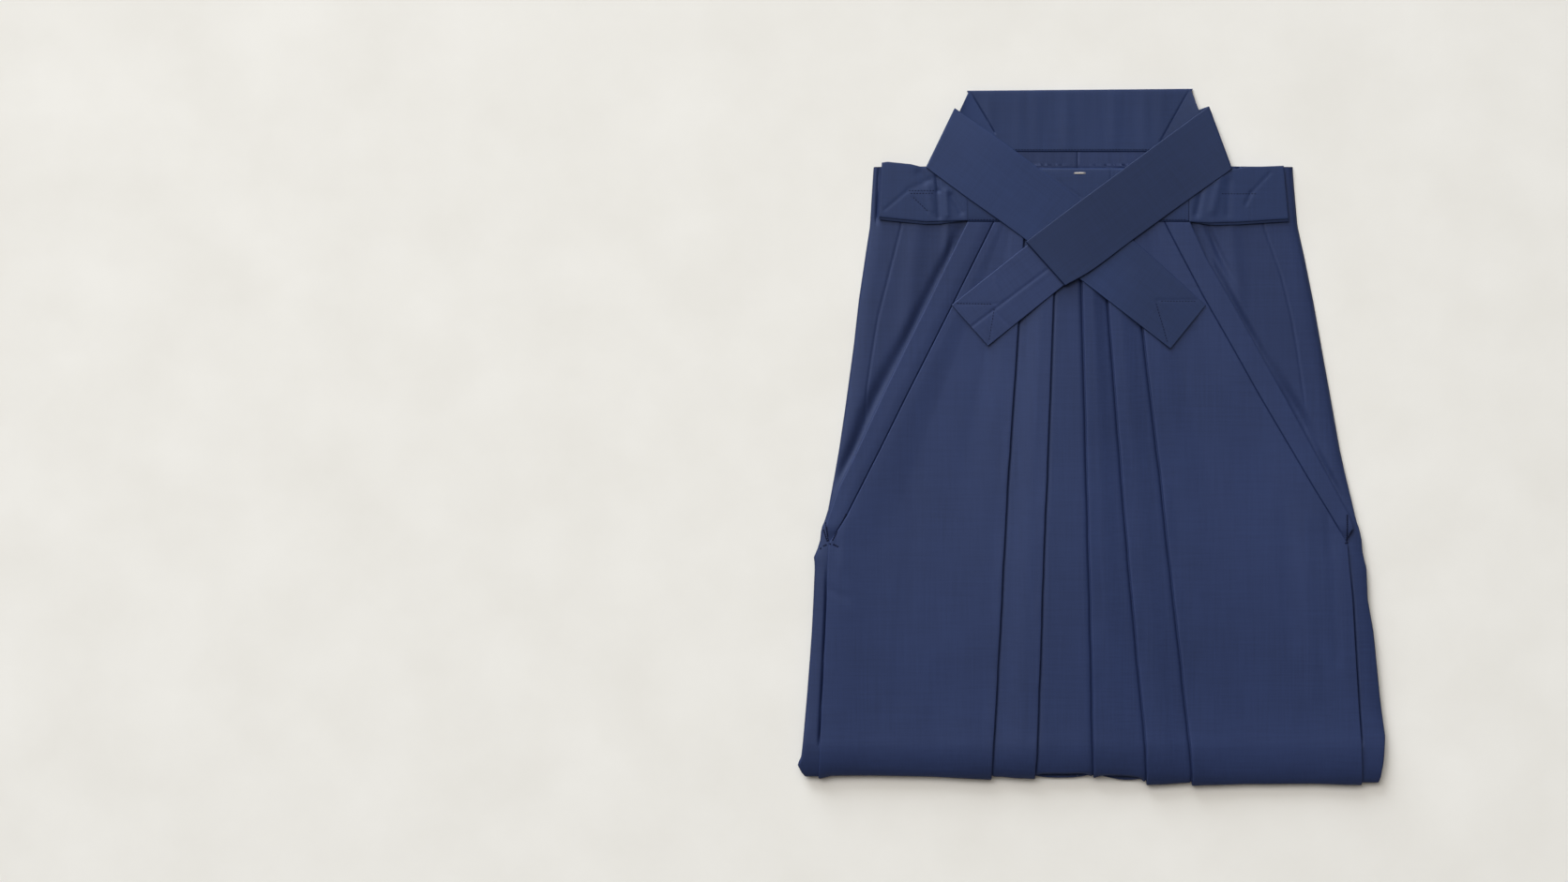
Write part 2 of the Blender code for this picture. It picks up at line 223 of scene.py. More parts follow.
RIGHT_TIE = (
    (134.8, 381.8, -1.5, 161.3, 308.9, 0.0),
    (81.5, 342.9, 0.0, 105.3, 269.4, 0.0),
    (27.5, 302.9, 1.6, 47.0, 227.3, 1.7),
    (-26.5, 263.0, 3.1, 0.5, 192.8, 3.1),
    (-75.1, 226.3, 3.1, -29.7, 175.5, 3.1),
)
RIGHT_TIE_RETURN = (
    (-75.1, 226.3, 1.6, -29.7, 175.5, 1.6),
    (-52.0, 243.8, 1.6, -15.0, 184.0, 1.6),
)
RIGHT_TIE_END = (
    (-73.0, 223.0, 0.0, -24.5, 181.3, 0.0),
    (-161.5, 152.8, 0.0, -119.3, 105.3, 0.0),
)
TIE_ROW_STEP = 1.8
TIES_CROSS = np.array((0.0, 270.0, 0.0))

# Front ties folded to and fro
# x, foot y, top y
LEFT_TIE_STACK = (
    (-243.6, 254.3, 317.0),
    (-237.0, 253.6, 318.0),
    (-210.0, 250.8, 315.2),
    (-190.0, 248.9, 310.2),
    (-143.2, 250.4, 310.0),
)
RIGHT_TIE_STACK = (
    (112.6, 249.0, 310.0),
    (135.5, 247.6, 309.0),
    (168.0, 248.6, 309.4),
    (180.0, 249.4, 311.6),
    (224.6, 252.2, 313.4),
)
LEFT_STACK_SLANT, RIGHT_STACK_SLANT = 3.2, 5.8    # lean of the outer fold, foot to top
STACK_STAGGER = 2.9        # how far the layers below show at the foot
STAGGER_FADE = 30.0
STACK_LIFT = 0.3           # extra room under the upper layers
STACK_LOW_SHARE = 0.35     # share of the dents that the lowest layer takes


# Small tools

def along(table, column, place):
    """Values in a column of a table whose first column rises, at places between its rows."""
    return np.interp(place, [row[0] for row in table], [row[column] for row in table])


def ease(share):
    return share * share * (3.0 - 2.0 * share)


def eased(place, start, length):
    """0 up to start, then a soft rise to 1 over a length."""
    return ease(min(max((place - start) / length, 0.0), 1.0))


def mound(distance, half_width):
    """A soft rise of height 1 at distance 0."""
    return np.exp(-(distance / half_width) ** 2)


def wave(place, seed, lengths=(97.0, 53.0, 29.0), weights=(0.5, 0.3, 0.2)):
    """An uneven wave between about -1 and 1; the seed chooses where its parts begin."""
    total = 0.0
    for index, (length, weight) in enumerate(zip(lengths, weights)):
        total = total + weight * np.sin(2.0 * math.pi * place / length + seed * (2.3 + 1.7 * index))
    return total


def stack_height(y):
    """Thickness of the hidden layers, with its slopes softened."""
    y = np.asarray(y, float)
    reach = np.minimum(STACK_SOFTNESS, np.maximum(y - ROLL_Y, 0.0))
    offsets = np.linspace(-1.0, 1.0, 9)
    return np.mean([along(STACK, 1, y + reach * offset) for offset in offsets], axis=0)


def settle(x, y):
    """How the whole pile rises and falls a little over its uneven inside, never below zero."""
    swell = (0.45 * np.sin(x / 71.0 + 0.6) * np.sin(y / 83.0 + 1.1)
             + 0.30 * np.sin(x / 39.0 + y / 118.0 + 2.0)
             + 0.20 * np.sin(y / 47.0 - x / 160.0 + 0.4))
    return 0.7 * (swell + 0.95)


def lay(x, height, y, angle, drop=0.0, bulge=0.0, sink=0.0):
    """Points at heights above the hidden layers, on the flat or round the bottom fold."""
    height = height + settle(x, np.maximum(y, ROLL_Y))
    flat = angle >= 90.0
    turn = np.radians(angle)
    reach = BEND_RADIUS + height + bulge
    out_y = np.where(flat, y, ROLL_Y - (ROLL + reach + drop) * np.cos(turn))
    out_z = np.where(flat, stack_height(y) + height, BEND_Z + reach * np.sin(turn))
    return np.stack([x, out_y, np.maximum(out_z - sink, 0.3)], axis=-1)


def rows_down(top_y, last_angle=-46.0):
    """Rows down a panel as arrays of y and angle."""
    count = int(round((top_y - ROLL_Y) / ROW_STEP))
    flat = np.linspace(top_y, ROLL_Y, count + 1)
    angles = np.concatenate([np.arange(86.0, 49.0, -4.0), np.arange(48.0, 0.0, -2.0),
                             np.arange(0.0, last_angle, -6.0)])
    rolled = ROLL_Y - (ROLL + 8.0) * np.cos(np.radians(np.maximum(angles, 0.0)))
    return np.concatenate([flat, rolled]), np.concatenate([np.full(len(flat), 90.0), angles])


def creases(table):
    """Relief of a table of straight creases, each soft-ended."""
    def relief(x, y):
        total = np.zeros_like(np.asarray(x, float))
        for ax, ay, bx, by, half_width, height in table:
            run_x, run_y = bx - ax, by - ay
            length2 = run_x ** 2 + run_y ** 2
            share = ((x - ax) * run_x + (y - ay) * run_y) / length2
            near = np.clip(share, 0.0, 1.0)
            gap2 = (x - ax - near * run_x) ** 2 + (y - ay - near * run_y) ** 2
            total = total + height * np.exp(-gap2 / half_width ** 2)
        return total
    return relief


def refine(path, step):
    """The same path with extra points on its long straight stretches."""
    out = []
    for start, end in zip(path, path[1:]):
        start, end = np.array(start), np.array(end)
        count = max(1, int(round(float(np.hypot(*(end - start))) / step)))
        out += [start + (end - start) * i / count for i in range(count)]
    out.append(np.array(path[-1]))
    return np.array(out)


def add_object(name, data):
    piece = bpy.data.objects.new(name, data)
    bpy.context.scene.collection.objects.link(piece)
    return piece


def mesh_piece(name, points, faces, finish, sharp=50.0):
    mesh = bpy.data.meshes.new(name)
    mesh.from_pydata((np.asarray(points) * MM).tolist(), [], faces)
    mesh.update()
    mesh.shade_smooth()
    mesh.set_sharp_from_angle(angle=math.radians(sharp))
    mesh.materials.append(finish)
    return add_object(name, mesh)


def closed_shell(name, upper, lower, finish):
    """A thin closed shell between two grids of points with the same rows and columns."""
    upper, lower = np.asarray(upper), np.asarray(lower)
    rows, columns = upper.shape[:2]
    count = rows * columns
    index = np.arange(count).reshape(rows, columns)
    a, b = index[:-1, :-1], index[1:, :-1]
    c, d = index[1:, 1:], index[:-1, 1:]
    top = np.stack([a, b, c, d], axis=-1).reshape(-1, 4)
    under = np.stack([a, d, c, b], axis=-1).reshape(-1, 4) + count
    sides = []
    for first, second, flip in ((index[:-1, 0], index[1:, 0], True),
                                (index[:-1, -1], index[1:, -1], False),
                                (index[0, :-1], index[0, 1:], False),
                                (index[-1, :-1], index[-1, 1:], True)):
        quad = (first, second, second + count, first + count)
        sides.append(np.stack(quad[::-1] if flip else quad, axis=-1))
    faces = np.concatenate([top, under] + sides)
    points = np.concatenate([upper.reshape(-1, 3), lower.reshape(-1, 3)])
    centre = points.mean(axis=0)
    p = points[faces] - centre
    volume = np.einsum("ij,ij->i", p[:, 0], np.cross(p[:, 1], p[:, 2])).sum()
    volume += np.einsum("ij,ij->i", p[:, 0], np.cross(p[:, 2], p[:, 3])).sum()
    if volume < 0.0:
        faces = faces[:, ::-1]
    return mesh_piece(name, points, faces.tolist(), finish)


def wall_sides(path, wall):
    """Both sides of a wall of cloth whose middle follows a path of (across, height) points."""
    path = np.asarray(path, float)
    step = np.diff(path, axis=0)
    step /= np.linalg.norm(step, axis=1)[:, None]
    normal = np.stack([-step[:, 1], step[:, 0]], axis=1)
    normal = np.concatenate([normal[:1], normal, normal[-1:]])
    before, after = normal[:-1], normal[1:]
    mitre = (before + after) / (1.0 + (before * after).sum(axis=1))[:, None] * (wall / 2)
    mitre[[0, -1]] *= 0.55
    return path + mitre, path - mitre


def declare(piece, nodes):
    """A shell rides on the one body and stands for its nodes, which it hides."""
    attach(piece, "root")
    if nodes:
        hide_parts(*nodes)


# Finishes

TWILL_SHADER = {
    "Metallic": 0.0,
    "Specular Tint": (0.55, 0.66, 1.0, 1.0),
    "Sheen Weight": 0.03,
    "Sheen Roughness": 0.45,
    "Sheen Tint": (0.55, 0.64, 1.0, 1.0),
}
GLOSS = (0.50, 0.0)        # seen from above, and at a low angle
GLOSS_FACING = (0.15, 0.65)
TWILL_ROUGHNESS = (0.47, 0.57)
TINT_RANGE = 0.22          # how far the colour varies either way
YARN_SHARE = 0.6           # share of that which comes from the yarns
RIB_SCALE = 420.0
ACROSS_YARN, ALONG_YARN = 520.0, 14.0
THREAD_GLOSS = 0.15


def shade(share, colour):
    return tuple(part * share for part in colour)


def new_finish(name, values):
    """A material, its node tree and its shader, with the shader's own values set."""
    finish = bpy.data.materials.new(name)
    finish.use_nodes = True
    shader = finish.node_tree.nodes["Principled BSDF"]
    for socket, value in values.items():
        shader.inputs[socket].default_value = value
    return finish, finish.node_tree, shader


def add_node(tree, kind, feed=None, values=()):
    """A new node with its first input fed by another's output and some values set."""
    node = tree.nodes.new(kind)
    for socket, value in dict(values).items():
        node.inputs[socket].default_value = value
    if feed is not None:
        tree.links.new(feed, node.inputs[0])
    return node


def noise(tree, feed, scale, detail):
    node = add_node(tree, "ShaderNodeTexNoise", feed, {"Scale": scale, "Detail": detail})
    return node.outputs["Fac"]


def map_range(tree, feed, old, new):
    """A value carried over from the range old to the range new."""
    node = add_node(tree, "ShaderNodeMapRange", feed, {"From Min": old[0], "From Max": old[1],
                                                       "To Min": new[0], "To Max": new[1]})
    return node.outputs["Result"]


def blend(tree, first, second, share):
    """Two values mixed, with that share of the second."""
    node = add_node(tree, "ShaderNodeMix", values={"Factor": share})
    node.data_type = "FLOAT"
    tree.links.new(first, node.inputs["A"])
    tree.links.new(second, node.inputs["B"])
    return node.outputs["Result"]


def colour_ramp(tree, feed, places, colours):
    node = add_node(tree, "ShaderNodeValToRGB", feed)
    for element, place, colour in zip(node.color_ramp.elements, places, colours):
        element.position = place
        element.color = (*colour, 1.0)
    return node.outputs["Color"]


def bumps(tree, height, strength, distance):
    node = add_node(tree, "ShaderNodeBump", values={"Strength": strength, "Distance": distance})
    tree.links.new(height, node.inputs["Height"])
    return node


def twill(name, colour, grain_angle=0.0, fade=None):
    """Smooth dyed polyester twill: fine diagonal ribs, faint streaks along the yarn, soft sheen.

    A fade (x, to x, share) paints shade: it leaves that share of the colour beyond the second place.
    """
    finish, tree, shader = new_finish(name, TWILL_SHADER)
    facing = add_node(tree, "ShaderNodeLayerWeight", values={"Blend": 0.5})
    gloss = map_range(tree, facing.outputs["Facing"], GLOSS_FACING, GLOSS)
    tree.links.new(gloss, shader.inputs["Specular IOR Level"])

    place = add_node(tree, "ShaderNodeTexCoord").outputs["Object"]
    turn = add_node(tree, "ShaderNodeMapping", place, {"Rotation": (0.0, 0.0, grain_angle)})
    grain = turn.outputs["Vector"]
    rib = add_node(tree, "ShaderNodeTexWave", grain,
                   {"Scale": RIB_SCALE, "Distortion": 1.2, "Detail": 1.0})
    rib.wave_type = "BANDS"
    rib.bands_direction = "DIAGONAL"
    streaks = []
    for scale in ((ACROSS_YARN, ALONG_YARN, ACROSS_YARN), (ALONG_YARN, ACROSS_YARN, ACROSS_YARN)):
        stretch = add_node(tree, "ShaderNodeMapping", grain, {"Scale": scale})
        streaks.append(noise(tree, stretch.outputs["Vector"], 1.0, 2.0))
    yarns = blend(tree, *streaks, 0.5)
    cloud = noise(tree, grain, 7.0, 4.0)

    tint = colour_ramp(tree, blend(tree, cloud, yarns, YARN_SHARE), (0.30, 0.70),
                       (shade(1.0 - TINT_RANGE, colour), shade(1.0 + TINT_RANGE, colour)))
    # Painted shade: the colour darkens across x from the first place to the second
    if fade:
        start, end, share = fade
        x = add_node(tree, "ShaderNodeSeparateXYZ", place).outputs["X"]
        left = map_range(tree, x, (start * MM, end * MM), (1.0, share))
        painted_shade_tint = add_node(tree, "ShaderNodeVectorMath", tint)
        painted_shade_tint.operation = "SCALE"
        tree.links.new(left, painted_shade_tint.inputs["Scale"])
        tint = painted_shade_tint.outputs["Vector"]
    tree.links.new(tint, shader.inputs["Base Color"])
    rough = map_range(tree, yarns, (0.0, 1.0), TWILL_ROUGHNESS)
    tree.links.new(rough, shader.inputs["Roughness"])

    fine = bumps(tree, rib.outputs["Fac"], 0.22, 0.00012)
    soft = bumps(tree, cloud, 0.25, 0.0006)
    tree.links.new(fine.outputs["Normal"], soft.inputs["Normal"])
    tree.links.new(soft.outputs["Normal"], shader.inputs["Normal"])
    return finish


def thread(name, colour, roughness):
    finish, tree, shader = new_finish(name, {"Roughness": roughness,
                                             "Specular IOR Level": THREAD_GLOSS})
    ply = add_node(tree, "ShaderNodeTexNoise", values={"Scale": 2600.0})
    tint = colour_ramp(tree, ply.outputs["Fac"], (0.0, 1.0),
                       (shade(0.8, colour), shade(1.2, colour)))
    tree.links.new(tint, shader.inputs["Base Color"])
    return finish


NAVY = (0.0182, 0.0306, 0.0945)
BAND_NAVY = (0.0158, 0.0303, 0.0985)
PANEL_CLOTH = twill("panel_twill", NAVY)
# Painted shade: the back panels are the front's navy darkened, the left one more than the right, for
# how the light falls on them
BACK_CLOTHS_PAINTED_SHADE = {LEFT: twill("left_back_twill_painted_shade", shade(0.86, NAVY)),
               RIGHT: twill("right_back_twill_painted_shade", shade(0.96, NAVY))}
BAND_CLOTH = twill("band_twill", shade(0.83, BAND_NAVY), grain_angle=math.radians(90.0))
# Painted sheen and shade: the left back tie is lighter for how the light catches its twill, and
# painted darker past the crossing
LEFT_TIE_CLOTH_PAINTED_SHEEN_AND_SHADE = twill("left_tie_twill_painted_sheen_and_shade", shade(0.93, BAND_NAVY), math.radians(37.0),
                       fade=(10.0, 60.0, 0.80))
# Painted shade: the right back tie is the same cloth made much darker, for how the light catches its
# twill running the other way
RIGHT_TIE_CLOTH_PAINTED_SHADE = twill("right_tie_twill_painted_shade", shade(0.65, BAND_NAVY), math.radians(-37.0))
RIGHT_END_CLOTH = twill("right_tie_end_twill", NAVY, math.radians(-37.0))
# Painted shade: the hidden inside is the front's navy darkened, for the shade it lies in under the
# panels' edges
HIDDEN_CLOTH_PAINTED_SHADE = twill("hidden_twill_painted_shade", shade(0.8, NAVY))
# Partly painted shade: the navy thread is made near black so the stitches also carry the shade of the
# holes and grooves they sit in
DARK_THREAD_WITH_PAINTED_SHADE = thread("dark_thread_with_painted_shade", (0.003, 0.007, 0.030), 0.7)
PALE_THREAD = thread("pale_thread", (0.55, 0.52, 0.50), 0.5)


# Front panels

# The crease in front of a fold's edge
# across from the edge, share of its depth
CREASE = (
    (-0.7, 0.8),
    (0.1, 1.0),
    (0.9, 0.95),
    (1.7, 0.6),
    (2.8, 0.2),
    (4.4, 0.0),
)
CREASE_DEPTHS = {RIGHT: 1.6, LEFT: 2.4}
TURN_POINTS = 5            # points in the turn between a fold's two lower layers


def run(start, end, count):
    """Points from start towards end, without the end, easing from one height to the other."""
    shares = [index / count for index in range(count)]
    return [(start[0] + (end[0] - start[0]) * share,
             start[1] + (end[1] - start[1]) * (0.5 * share + 0.5 * ease(share)))
            for share in shares]


def fold(edge_x, faces, depth, lift=0.0):
    """A wall folded in three layers with its edge at edge_x, as the two parts of its middle.

    The first part holds the upper layers and the turns, the second the lowest layer, which sinks
    into a crease in front of the edge. Both run from left to right.
    """
    centre = -WALL / 2 - TURN_RADIUS
    middle = (MID + TOP + lift) / 2
    radius = TURN_RADIUS + lift / 2
    upper = run((-depth - 2.0, TOP), (centre, TOP + lift), 7)
    upper += [(centre + TURN_RADIUS * math.cos(a), middle + radius * math.sin(a))
              for a in np.radians(np.linspace(90.0, -90.0, 11))]
    upper += run((centre - 0.5, MID), (-depth, MID), 4)
    upper += [(-depth - TURN_RADIUS * math.cos(a), (LOW + MID) / 2 + TURN_RADIUS * math.sin(a))
              for a in np.radians(np.linspace(90.0, -90.0, 5))]
    lowest = [(-depth + 0.5, LOW), (-depth * 0.6, LOW), (-2.6, LOW), (-1.6, LOW - 0.35)]
    lowest += [(across, LOW - CREASE_DEPTHS[faces] * sunk) for across, sunk in CREASE]
    if faces == LEFT:
        upper = [(-across, height) for across, height in reversed(upper)]
        lowest = [(-across, height) for across, height in reversed(lowest)]
    return ([(edge_x + across, height) for across, height in upper],
            [(edge_x + across, height) for across, height in lowest])


def pleat(name, y):
    """Both parts of a pleat at y. It lies looser towards the bottom."""
    faces, column = PLEATS[name]
    share = (y - BEND_Y) / (PANEL_TOP - BEND_Y)
    loose = 1.0 - eased(y, -60.0, 200.0)
    edge = float(along(PLEAT_LINES, column, y)) + 0.3 * loose * wave(y, float(column))
    lift = 0.3 + loose * (0.35 + 0.35 * wave(y, column + 8.0, (160.0, 90.0, 41.0)))
    depth = PLEAT_DEPTH_BOTTOM + (PLEAT_DEPTH_WAIST - PLEAT_DEPTH_BOTTOM) * share
    return fold(edge, faces, depth, lift)


def broad(start, end, count):
    """A broad stretch of cloth that settles between the ends of its folds."""
    width = end[0] - start[0]
    height = TOP - min(DIP, max(width, 0.0) * DIP_SLOPE)
    near = (start[0] + width * 0.3, height)
    far = (start[0] + width * 0.7, height)
    side = count // 3
    return run(start, near, side)[1:] + run(near, far, count - 2 * side) + run(far, end, side)


def hem_strip(span, y):
    """The hem along a side opening, from its edge to under the fold, as (inwards, height).

    Above the foot of the opening it stands nearly as high as the panel, with a rounded edge and
    a groove before the fold, span inwards. Below the foot it lies flat under the fold.
    """
    rise = eased(y, OPENING_FOOT + 3.0, 14.0)
    top = TOP - 0.15
    end = span + OPENING_HEM_DEPTH - 1.0
    shaped = [(0.9, LOW - 0.7), (0.2, LOW + 0.35), (0.45, top - 0.3), (1.0, top), (1.8, top),
              (span * 0.5, top), (span - 2.4, top), (span - 1.7, top - 0.15),
              (span - 1.1, top - 0.6), (span - 0.5, top - 1.5), (span + 0.6, LOW), (end, LOW)]
    step = end / (len(shaped) - 1)
    return [(step * index * (1.0 - rise) + inwards * rise, LOW * (1.0 - rise) + height * rise)
            for index, (inwards, height) in enumerate(shaped)]


def front_left_path(y):
    strip, edge = along(OPENINGS, 1, y), along(OPENINGS, 2, y)
    opening = [(strip + inwards, height) for inwards, height in hem_strip(edge - strip, y)]
    opening += fold(edge, LEFT, OPENING_HEM_DEPTH)[0]
    (upper_a, low_a), (upper_b, low_b), low_c = pleat("a", y), pleat("b", y), pleat("c", y)[1]
    path = opening + broad(opening[-1], upper_a[0], 42) + upper_a + low_a
    path += run(low_a[-1], upper_b[0], 8)[1:] + upper_b + low_b
    path += run(low_b[-1], low_c[0], 12)[1:] + low_c[:-1] + [(low_c[-1][0] - 3.0, LOW)]
    return path


def front_right_path(y):
    strip, edge = along(OPENINGS, 3, y), along(OPENINGS, 4, y)
    opening = fold(edge, RIGHT, OPENING_HEM_DEPTH)[0]
    opening += [(strip - inwards, height)
                for inwards, height in reversed(hem_strip(strip - edge, y))]
    upper_c, (upper_d, low_d), (upper_e, low_e) = pleat("c", y)[0], pleat("d", y), pleat("e", y)
    path = upper_c[TURN_POINTS:] + run(upper_c[-1], low_d[0], 8)[1:]
    path += low_d + upper_d + run(upper_d[-1], low_e[0], 8)[1:]
    path += low_e + upper_e + broad(upper_e[-1], opening[0], 42) + opening
    return path


# Where the front is drawn in at the bottom edge between folds b and d
# x, to x, skew towards the right
FOOT_HOLLOWS = ((-63.0, -1.0, 0.85), (3.0, 60.0, 1.5))

# The front tucks in there, and the back lies lower behind a lip
# angle, outwards, sink
FRONT_TUCK = (
    (-46.0, -9.0, 3.0),
    (5.0, -9.0, 3.0),
    (15.0, -6.0, 1.0),
    (25.0, -2.0, 0.3),
    (34.0, 0.0, 0.0),
)
BACK_TUCK = (
    (-46.0, 0.0, 2.5),
    (-25.0, 0.5, 3.0),
    (-12.0, 3.2, 2.0),
    (-3.0, 3.4, 2.4),
    (6.0, 0.6, 4.6),
    (20.0, 0.0, 5.0),
    (35.0, 0.0, 4.5),
    (45.0, 0.0, 2.0),
    (60.0, 0.0, 0.0),
)


def tuck(table, x, angle):
    """How far cloth moves outwards and sinks at the hollows of the bottom edge."""
    shape = np.zeros_like(x)
    for start, end, skew in FOOT_HOLLOWS:
        share = np.clip((x - start) / (end - start), 0.0, 1.0)
        shape = shape + np.sin(math.pi * share ** skew) ** 0.6
    return shape * along(table, 1, angle), shape * along(table, 2, angle)


# Soft creases of the front panels
# x, y, to x, to y, half width, height
FRONT_CREASES = (
    (-305.0, -174.0, -282.0, -186.0, 3.5, -0.55),
    (-303.0, -122.0, -290.0, -127.0, 2.5, -0.45),
    (-285.0, -96.0, -288.0, -150.0, 5.0, 0.45),
    (-297.0, -127.5, -288.0, -143.0, 2.2, -0.35),
    (271.0, -92.0, 273.5, -130.0, 3.0, -0.6),
    (-268.0, 40.0, -284.0, -200.0, 16.0, 0.35),
    (-205.0, -40.0, -222.0, -300.0, 14.0, -0.35),
    (-150.0, 60.0, -168.0, -250.0, 18.0, 0.3),
    (276.0, -110.0, 281.0, -260.0, 6.0, -0.45),
    (247.0, -95.0, 252.0, -300.0, 9.0, 0.45),
    (222.0, -70.0, 226.0, -240.0, 8.0, -0.35),
    (150.0, 60.0, 165.0, -290.0, 18.0, 0.3),
    (190.0, 120.0, 205.0, -60.0, 16.0, -0.25),
)


def front_panel(name, path_at, tail):
    ys, angles = rows_down(PANEL_TOP)
    relief = creases(FRONT_CREASES)
    upper, lower, middle = [], [], []
    for y, angle in zip(ys, angles):
        path = np.array(path_at(y))
        over, under = wall_sides(path, WALL)
        for points, rows in ((over, upper), (under, lower), (path, middle)):
            x = points[:, 0]
            height = points[:, 1] + relief(x, y)
            rows.append(lay(x, height, np.full(len(x), y), np.full(len(x), angle),
                            along(tail, 1, x), *tuck(FRONT_TUCK, x, angle)))
    piece = closed_shell(name + "_cloth", upper, lower, PANEL_CLOTH)
    declare(piece, [name])
    return piece


# Back panels

# How much lower the outer edges of the back panels lie, and over what width
EDGE_ROUNDING = 1.7
EDGE_WIDTH = 16.0
EDGE_ROLL = 2.0            # radius of the edge itself
EDGE_INSET = 0.4

SEAM_DEPTH, SEAM_WIDTH, SEAM_GAP = 0.5, 0.9, 0.15
COVERED_DROP = 0.9         # how much lower the back lies where the front covers it

# How far the back hangs past the bottom fold
# x, drop
BACK_TAIL = (
    (-16.0, 0.0),
    (3.0, -1.5),
    (35.0, 2.2),
    (58.0, 2.8),
    (67.0, 7.0),
)

# Pressed lines down the back panels
PRESS_DEPTH, PRESS_WIDTH = 0.6, 1.2
# y, left, right
PRESS_LINE = (
    (40.0, -260.5, 246.5),
    (57.0, -259.0, 244.0),
    (101.0, -252.5, 237.8),
    (140.0, -245.8, 231.0),
    (187.0, -233.8, 219.5),
    (245.0, -219.0, 199.0),
)

# Soft folds of the back beside the front's openings
# side, x at y 245, x at y 40, half width, height
BACK_FOLDS = (
    (LEFT, -200.0, -222.0, 11.0, 0.9),
    (LEFT, -166.0, -180.0, 5.0, 0.8),
    (RIGHT, 162.0, 180.0, 9.0, 0.8),
    (RIGHT, 130.0, 160.0, 5.0, 0.5),
)

# Where the back sinks beside the hem strips
# side, y, reach along, out from the strip, half width, depth
BACK_DIPS = (
    (LEFT, 205.0, 50.0, 3.0, 6.0, 2.4),
    (LEFT, 120.0, 45.0, 4.0, 7.0, 2.6),
    (LEFT, 40.0, 45.0, 6.5, 9.0, 3.9),
    (LEFT, -20.0, 36.0, 4.0, 7.0, 3.6),
    (RIGHT, 215.0, 34.0, 2.5, 4.5, 3.4),
    (RIGHT, 225.0, 40.0, 18.0, 4.0, 2.2),
    (RIGHT, 130.0, 50.0, 2.0, 5.0, 3.6),
    (RIGHT, 32.0, 42.0, 6.0, 8.5, 4.6),
    (RIGHT, -40.0, 50.0, 2.5, 5.0, 3.2),
)

# Above the foot of the opening the right edge turns down over the layer below it
RIGHT_EDGE_DROP = 2.0
RIGHT_EDGE_WIDTH = 2.9

# Narrow creases of the back panels
# x, y, to x, to y, half width, height
BACK_CREASES = (
    (-244.6, 322.0, -247.8, 252.0, 1.5, -1.9),
    (273.0, -150.0, 272.0, -175.0, 3.0, -0.5),
)

# Below the openings the back sinks in a narrow groove along the front's side folds
GROOVE_DEPTH = 3.0
GROOVE_WIDTH = 1.7


def outline(y, side):
    return along(OUTLINE, 1 if side == LEFT else 2, y)


def back_relief(x, y, side):
    """Soft folds in the back panel; it lies lower where the front covers it."""
    if y > WAISTBAND_TOP:
        ripple = 0.12 * wave(x, 5.0, (31.0, 19.0, 11.0))
        return ripple - SEAM_DEPTH * mound(x - BACK_SEAM_X - 0.5, SEAM_WIDTH)
    strip = float(along(OPENINGS, 1 if side == LEFT else 3, y))
    outwards = side * (x - strip)
    clear = np.clip((outwards - 1.0) / 8.0, 0.0, 1.0)
    fade = float(np.clip((y + 60.0) / 120.0, 0.0, 1.0))
    total = creases(BACK_CREASES)(x, y)
    for fold_side, top_x, low_x, half_width, height in BACK_FOLDS:
        if fold_side == side:
            centre = low_x + (top_x - low_x) * (y - 40.0) / 205.0
            total = total + height * fade * clear * mound(x - centre, half_width)
    for dip_side, dip_y, reach, out, half_width, depth in BACK_DIPS:
        if dip_side == side:
            total = total - depth * mound(y - dip_y, reach) * mound(outwards - out, half_width)
    press = float(along(PRESS_LINE, 1 if side == LEFT else 2, y))
    total = total - PRESS_DEPTH * fade * clear * mound(x - press, PRESS_WIDTH)
    below = eased(-y, 16.0 - OPENING_FOOT, 48.0) * eased(y, ROLL_Y - 4.8, 12.0)
    total = total - GROOVE_DEPTH * below * mound(outwards - 1.6, GROOVE_WIDTH)
    if side == RIGHT:
        shown = eased(y, -70.0, 60.0)
        edge = float(outline(y, side))
        total = total - RIGHT_EDGE_DROP * shown * mound(edge - x, RIGHT_EDGE_WIDTH)
    return total - COVERED_DROP * np.clip(-outwards / 12.0, 0.0, 1.0)


